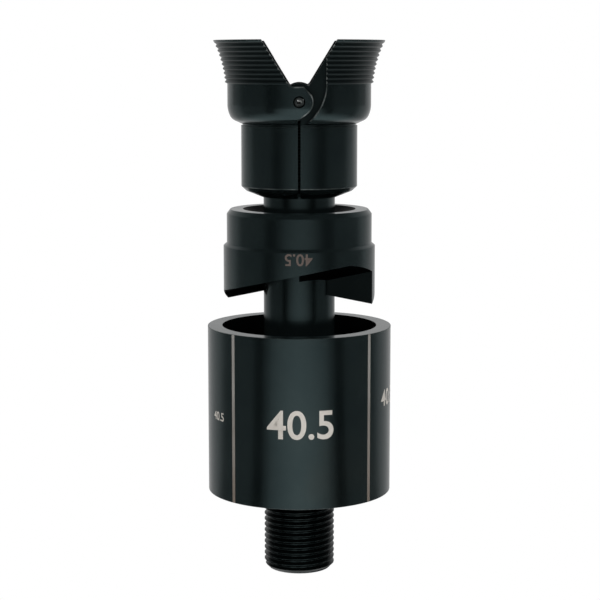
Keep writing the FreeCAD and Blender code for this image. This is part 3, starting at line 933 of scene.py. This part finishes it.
# a strip of spring steel coiled into a pin, so its end shows a spiral
def makeHingePin(name, node, halfTurn):
    steps = int(pin["turns"] * pin["stepsPerTurn"])
    thickness = pin["stripPitch"] - pin["stripGap"]

    def section(y, squeeze):
        outer, inner = [], []
        for step in range(steps + 1):
            turned = pin["turns"] * step / steps
            angle = 2 * math.pi * turned + pin["startAngle"]
            share = max(turned % 1 - pin["roundShare"], 0) / (1 - pin["roundShare"])
            layer = math.floor(turned) + share * share * (3 - 2 * share)
            radius = pin["radius"] - pin["stripPitch"] * layer
            for side, r in ((outer, radius), (inner, radius - thickness)):
                r = min(r, pin["radius"] - squeeze)
                side.append((r * math.cos(angle), y, r * math.sin(angle)))
        return outer + inner[::-1]

    stations = [
        (-pin["outerEnd"], pin["chamfer"]),
        (-pin["outerEnd"] + pin["chamfer"], 0),
        (-pin["innerEnd"] - pin["chamfer"], 0),
        (-pin["innerEnd"], pin["chamfer"]),
    ]
    bm = bmesh.new()
    place = hingePlace(halfTurn)
    rings = [[bm.verts.new(place @ Vector(p) * mm) for p in section(*station)] for station in stations]
    joinRings(bm, rings)
    last = len(rings[0]) - 1
    for ring in (rings[0], rings[-1]):
        for i in range(steps):
            bm.faces.new((ring[i], ring[i + 1], ring[last - i - 1], ring[last - i]))
    bmesh.ops.recalc_face_normals(bm, faces=bm.faces)
    piece = meshObject(name, bm)
    smooth(piece, pin["sharpDegrees"])
    dull = brightSteel(name + "Steel", (0.035, 0.042, 0.042), (0.13, 0.145, 0.143), 0.34, 4000)
    highlightCore = brightSteel(name + "HighlightCore", (0.2, 0.215, 0.21), (0.4, 0.42, 0.41), 0.3, 4000)
    dress(piece, [dull, highlightCore])
    # painted highlight: faces near the pin's axis, the middle of each end, get a much lighter steel
    for face in piece.data.polygons:
        if math.hypot(face.center.x, face.center.z - hingeHeight * mm) < pin["highlightCore"] * mm:
            face.material_index = 1
    finish(piece, "hinge", node)


spring = {
    "wireRadius": 0.35,
    "coilRadius": 2.05,
    "turns": 3 - 1 / 6,
    "pitch": 0.76,
    "outerPlace": 12.45,
    "legDegrees": 60.0,
    "roomHalfWidth": 7.4,
    "seatGap": 0.05,
    "wireSides": 4,
    "coilSteps": 96,
    "legSteps": 8,
    "reachRounds": 30,       # the inner leg's length is found by so many rounds
}


def curveMesh(name, curve):
    holder = bpy.data.objects.new(name, curve)
    bpy.context.scene.collection.objects.link(holder)
    graph = bpy.context.evaluated_depsgraph_get()
    mesh = bpy.data.meshes.new_from_object(holder.evaluated_get(graph))
    bpy.data.objects.remove(holder)
    return mesh


def wireMesh(name, points, place):
    curve = bpy.data.curves.new(name, "CURVE")
    curve.dimensions = "3D"
    curve.bevel_depth = spring["wireRadius"] * mm
    curve.bevel_resolution = spring["wireSides"]
    curve.use_fill_caps = True
    path = curve.splines.new("POLY")
    path.points.add(len(points) - 1)
    for node, point in zip(path.points, points):
        node.co = (*(place @ Vector(point) * mm), 1)
    mesh = curveMesh(name, curve)
    piece = bpy.data.objects.new(name, mesh)
    bpy.context.scene.collection.objects.link(piece)
    mesh.shade_smooth()
    return piece


# the coil sits on the pin and a straight leg at each end leans on a lever
def makeLeverSpring(name, node, halfTurn):
    place = hingePlace(halfTurn)
    angle = math.radians(spring["legDegrees"])
    coil = spring["coilRadius"]
    inner = spring["outerPlace"] - spring["turns"] * spring["pitch"]
    points = []
    steps = spring["coilSteps"]
    for step in range(steps + 1):
        turned = math.pi - angle + 2 * math.pi * spring["turns"] * step / steps
        y = -inner - (spring["outerPlace"] - inner) * step / steps
        points.append((coil * math.cos(turned), y, coil * math.sin(turned)))
    material = brightSteel(name + "Steel", (0.16, 0.165, 0.17), (0.3, 0.305, 0.31), 0.3, 3000)
    piece = wireMesh(name + "Coil", points, place)
    dress(piece, [material])
    finish(piece, "hinge", node)

    # the outer leg ends at the side of the spring's room, the inner one on the lever's leaning inside
    tip = spring["wireRadius"] * math.cos(angle) + spring["seatGap"]
    outerLeg = (spring["roomHalfWidth"] - tip + coil * math.cos(angle)) / math.sin(angle)
    flare = (nut["mouthRadius"] - nut["hollowRadius"]) / (nut["leverHeight"] - nut["ribBase"])
    innerLeg = outerLeg
    for _ in range(spring["reachRounds"]):
        height = coil * math.sin(angle) + innerLeg * math.cos(angle)
        wall = nut["hollowRadius"] + flare * max(height - nut["ribBase"], 0) - tip - spring["wireRadius"]
        innerLeg = (math.sqrt(wall ** 2 - inner ** 2) + coil * math.cos(angle)) / math.sin(angle)
    outerBody, innerBody = ("right_jaw", "left_jaw") if halfTurn else ("left_jaw", "right_jaw")
    legs = (
        ("InnerLeg", 1, -inner, innerLeg, innerBody),
        ("OuterLeg", -1, -spring["outerPlace"], outerLeg, outerBody),
    )
    steps = spring["legSteps"]
    for part, way, y, length, body in legs:
        foot = Vector((-way * coil * math.cos(angle), y, coil * math.sin(angle)))
        along = Vector((way * math.sin(angle), 0, math.cos(angle)))
        leg = wireMesh(name + part, [foot + along * length * i / steps for i in range(steps + 1)], place)
        dress(leg, [material])
        finish(leg, body)


# marks

sizeMarks = {
    "text": "40.5",
    "lift": 0.005,
    "slice": 0.4,
    "boldness": 0.012,
    "dieFront": {"height": 7.6, "place": (270.6, 22.3)},
    "dieLeft": {"height": 2.3, "place": (210.0, 22.2)},
    "dieRight": {"height": 4.4, "place": (343.5, 26.6)},
    "punchLand": {"height": 3.1, "place": (269.6, 6.35)},
}


# writes plain numbers round a cylinder; a half turn puts them upside down
def makeMark(name, text, height, radius, degrees, middle, material, body, upsideDown=False):
    curve = bpy.data.curves.new(name, "FONT")
    curve.body = text
    curve.size = 1
    curve.align_x = "CENTER"
    curve.offset = sizeMarks["boldness"]
    mesh = curveMesh(name, curve)
    bm = bmesh.new()
    bm.from_mesh(mesh)
    bpy.data.meshes.remove(mesh)
    lows = [min(v.co[i] for v in bm.verts) for i in (0, 1)]
    highs = [max(v.co[i] for v in bm.verts) for i in (0, 1)]
    scale = height / (highs[1] - lows[1])
    turn = -1 if upsideDown else 1
    for v in bm.verts:
        x = (v.co.x - (lows[0] + highs[0]) / 2) * scale * turn
        y = (v.co.y - (lows[1] + highs[1]) / 2) * scale * turn
        v.co = (x, y, 0)
    half = (highs[0] - lows[0]) / 2 * scale
    cuts = int(half / sizeMarks["slice"])
    for i in range(-cuts, cuts + 1):
        everything = bm.verts[:] + bm.edges[:] + bm.faces[:]
        across = (i * sizeMarks["slice"], 0, 0)
        bmesh.ops.bisect_plane(bm, geom=everything, plane_co=across, plane_no=(1, 0, 0))
    for v in bm.verts:
        angle = math.radians(degrees) + v.co.x / radius
        r = radius + sizeMarks["lift"]
        v.co = (r * math.cos(angle) * mm, r * math.sin(angle) * mm, (middle + v.co.y) * mm)
    piece = meshObject(name, bm)
    dress(piece, [material])
    finish(piece, body)


def makeMarks():
    bright = etchedMark("brightMark", (0.42, 0.39, 0.35), (0.66, 0.63, 0.58))
    faded = etchedMark("fadedMark", (0.07, 0.052, 0.045), (0.14, 0.108, 0.093))
    text = sizeMarks["text"]
    for side in ("dieFront", "dieLeft", "dieRight"):
        mark = sizeMarks[side]
        makeMark(side + "Mark", text, mark["height"], die["radius"], *mark["place"], bright, "die")
    land = sizeMarks["punchLand"]
    degrees, middle = land["place"]
    middle += punchTop - punch["topHeight"]
    makeMark("punchMark", text, land["height"], punch["radius"], degrees, middle, faded, "punch", True)


# stage, lights and camera

stage = {
    "front": -1.5,
    "back": 1.7,
    "halfWidth": 1.6,
    "height": 1.7,
    "sweep": 0.6,
    "sweepStep": 6,
    "floorTone": 0.86,
    "floorRoughness": 0.9,
    "floorGloss": 0.1,
    "nearReach": (0.42, 0.6),
    "steepness": (0.46, 0.74),
    "belowHorizon": (-0.05, -0.012),
    "aboveHorizon": (0.03, 0.09),
    "horizonGlow": 0.3,
    "skyFade": (0.45, 0.85),
    "skyGlow": 0.05,
}

# how bright the studio looks in the steel, as (degrees from the camera's side, near floor, far off)
studioRing = (
    (0, 1.02, 0.44), (12, 0.94, 0.39), (21, 0.8, 0.28), (31, 0.6, 0.12), (39, 0.26, 0.02), (46, 0.0, 0.01),
    (52, 0.02, 0.05), (60, 0.19, 0.17), (98, 0.2, 0.2), (118, 0.52, 0.5), (180, 0.6, 0.6),
)


# near and far brightness by direction round the object, from a vector's x and y
def ringBrightness(nodes, links, vector):
    parts = splitVector(nodes, links, vector)
    towards = mathNode(nodes, links, "MULTIPLY", parts["Y"], -1)
    turn = mathNode(nodes, links, "ARCTAN2", parts["X"], towards)
    size = mathNode(nodes, links, "ABSOLUTE", turn)
    ramp = nodes.new("ShaderNodeValToRGB")
    ramp.color_ramp.interpolation = "EASE"
    stops = ramp.color_ramp.elements
    while len(stops) < len(studioRing):
        stops.new(0.5)
    for stop, (degrees, near, far) in zip(stops, studioRing):
        stop.position = degrees / 180
        stop.color = (near, far, 0, 1)
    links.new(rangeNode(nodes, links, size, 0, math.pi, 0, 1), ramp.inputs["Fac"])
    levels = nodes.new("ShaderNodeSeparateColor")
    links.new(ramp.outputs["Color"], levels.inputs[0])
    return levels.outputs["Red"], levels.outputs["Green"], parts["Z"]


def makeStage():
    sweep = stage["sweep"]
    outline = [(stage["front"], 0), (stage["back"] - sweep, 0)]
    for degrees in range(stage["sweepStep"], 91, stage["sweepStep"]):
        turn = math.radians(degrees)
        outline.append((stage["back"] - sweep + sweep * math.sin(turn), sweep * (1 - math.cos(turn))))
    outline.append((stage["back"], stage["height"]))
    bm = bmesh.new()
    rows = [[bm.verts.new((x, y, z + studFoot * mm)) for x in (-stage["halfWidth"], stage["halfWidth"])]
            for y, z in outline]
    for low, high in zip(rows, rows[1:]):
        bm.faces.new((low[0], low[1], high[1], high[0]))
    floor = meshObject("paleFloor", bm)
    floor.data.shade_smooth()
    material, nodes, links, shader = newMaterial("paleFloor")
    shader.inputs["Base Color"].default_value = (*[stage["floorTone"]] * 3, 1)
    shader.inputs["Roughness"].default_value = stage["floorRoughness"]
    shader.inputs["Specular IOR Level"].default_value = stage["floorGloss"]
    path = nodes.new("ShaderNodeLightPath")
    place = objectPlace(nodes)
    near, far = ringBrightness(nodes, links, place)[:2]
    reach = nodes.new("ShaderNodeVectorMath")
    reach.operation = "LENGTH"
    links.new(place, reach.inputs[0])
    farShare = rangeNode(nodes, links, reach.outputs["Value"], *stage["nearReach"], 0, 1)
    level = mixNode(nodes, links, farShare, near, far)

    # a ray that comes down steeply has passed under the dark cards and finds the floor evenly bright
    geometry = nodes.new("ShaderNodeNewGeometry")
    steepness = splitVector(nodes, links, geometry.outputs["Incoming"])["Z"]
    steepShare = rangeNode(nodes, links, steepness, *stage["steepness"], 0, 1)
    seen = nodes.new("ShaderNodeEmission")
    seen.inputs["Strength"].default_value = 1
    mirrored = nodes.new("ShaderNodeEmission")
    links.new(mixNode(nodes, links, steepShare, level, 1), mirrored.inputs["Strength"])
    forGloss = nodes.new("ShaderNodeMixShader")
    forCamera = nodes.new("ShaderNodeMixShader")
    kinds = [path.outputs[kind] for kind in ("Is Glossy Ray", "Is Transmission Ray")]
    links.new(mathNode(nodes, links, "MAXIMUM", *kinds), forGloss.inputs[0])
    links.new(shader.outputs[0], forGloss.inputs[1])
    links.new(mirrored.outputs[0], forGloss.inputs[2])
    links.new(path.outputs["Is Camera Ray"], forCamera.inputs[0])
    links.new(forGloss.outputs[0], forCamera.inputs[1])
    links.new(seen.outputs[0], forCamera.inputs[2])
    links.new(forCamera.outputs[0], nodes["Material Output"].inputs["Surface"])
    floor.data.materials.append(material)


def makeWorld():
    world = bpy.data.worlds.new("studio")
    bpy.context.scene.world = world
    world.use_nodes = True
    nodes, links = world.node_tree.nodes, world.node_tree.links
    sky = nodes["Background"]
    place = nodes.new("ShaderNodeTexCoord")
    far, height = ringBrightness(nodes, links, place.outputs["Generated"])[1:]
    fade = rangeNode(nodes, links, height, *stage["skyFade"], 0, 1)
    below = rangeNode(nodes, links, height, *stage["belowHorizon"], 1, stage["horizonGlow"])
    above = rangeNode(nodes, links, height, *stage["aboveHorizon"], stage["horizonGlow"], 1)
    horizon = mathNode(nodes, links, "MAXIMUM", below, above)
    glow = mathNode(nodes, links, "MULTIPLY", far, horizon)
    soft = mixNode(nodes, links, fade, glow, stage["skyGlow"])
    path = nodes.new("ShaderNodeLightPath")
    level = mixNode(nodes, links, path.outputs["Is Camera Ray"], soft, 1)
    links.new(level, sky.inputs["Strength"])
    sky.inputs["Color"].default_value = (1, 1, 1, 1)


def areaLight(name, place, target, size, power):
    lamp = bpy.data.lights.new(name, "AREA")
    lamp.shape = "RECTANGLE"
    lamp.size, lamp.size_y = size
    lamp.energy = power
    holder = bpy.data.objects.new(name, lamp)
    holder.location = place
    holder.rotation_euler = (Vector(target) - Vector(place)).to_track_quat("-Z", "Y").to_euler()
    holder.visible_glossy = False
    bpy.context.scene.collection.objects.link(holder)


# each softbox's place, size in metres and power; all look at the middle of the object
softboxes = (
    ("leftSoftbox", (-1.0, -0.7, 0.8), (0.7, 1.0), 14),
    ("rightSoftbox", (1.0, -0.7, 0.8), (0.7, 1.0), 14),
    ("topSoftbox", (0, 0.1, 1.3), (1.0, 1.0), 10),
)
lightTarget = (0, 0, 0.05)


def makeLights():
    for name, place, size, power in softboxes:
        areaLight(name, place, lightTarget, size, power)


camera = {
    "distance": 454.5,
    "height": 115.44,
    "sideways": 0.2,
    "tiltDegrees": 8.02,
    "lens": 102.45,
    "sensor": 36,
    "clipStart": 10,
}


def makeCamera():
    data = bpy.data.cameras.new("photoView")
    data.sensor_width = camera["sensor"]
    data.lens = camera["lens"]
    data.clip_start = camera["clipStart"] * mm
    holder = bpy.data.objects.new("photoView", data)
    holder.location = (camera["sideways"] * mm, -camera["distance"] * mm, camera["height"] * mm)
    holder.rotation_euler = (math.radians(90 - camera["tiltDegrees"]), 0, 0)
    bpy.context.scene.collection.objects.link(holder)
    bpy.context.scene.camera = holder


print("camera and studio")
makeCamera()
makeStage()
makeWorld()
makeLights()
bpy.context.scene.view_settings.view_transform = "Standard"
print("draw stud")
makeDrawStud()
print("die")
makeDie()
print("punch")
makePunch()
print("split nut")
makeNutHalf("leftNutHalf", "nut_left_half", "left_jaw", False)
makeNutHalf("rightNutHalf", "nut_right_half", "right_jaw", True)
print("pins and springs")
makeHingePin("frontPin", "hinge_pin_front", False)
makeHingePin("backPin", "hinge_pin_back", True)
makeLeverSpring("frontSpring", "lever_spring_front", False)
makeLeverSpring("backSpring", "lever_spring_back", True)
print("marks")
makeMarks()
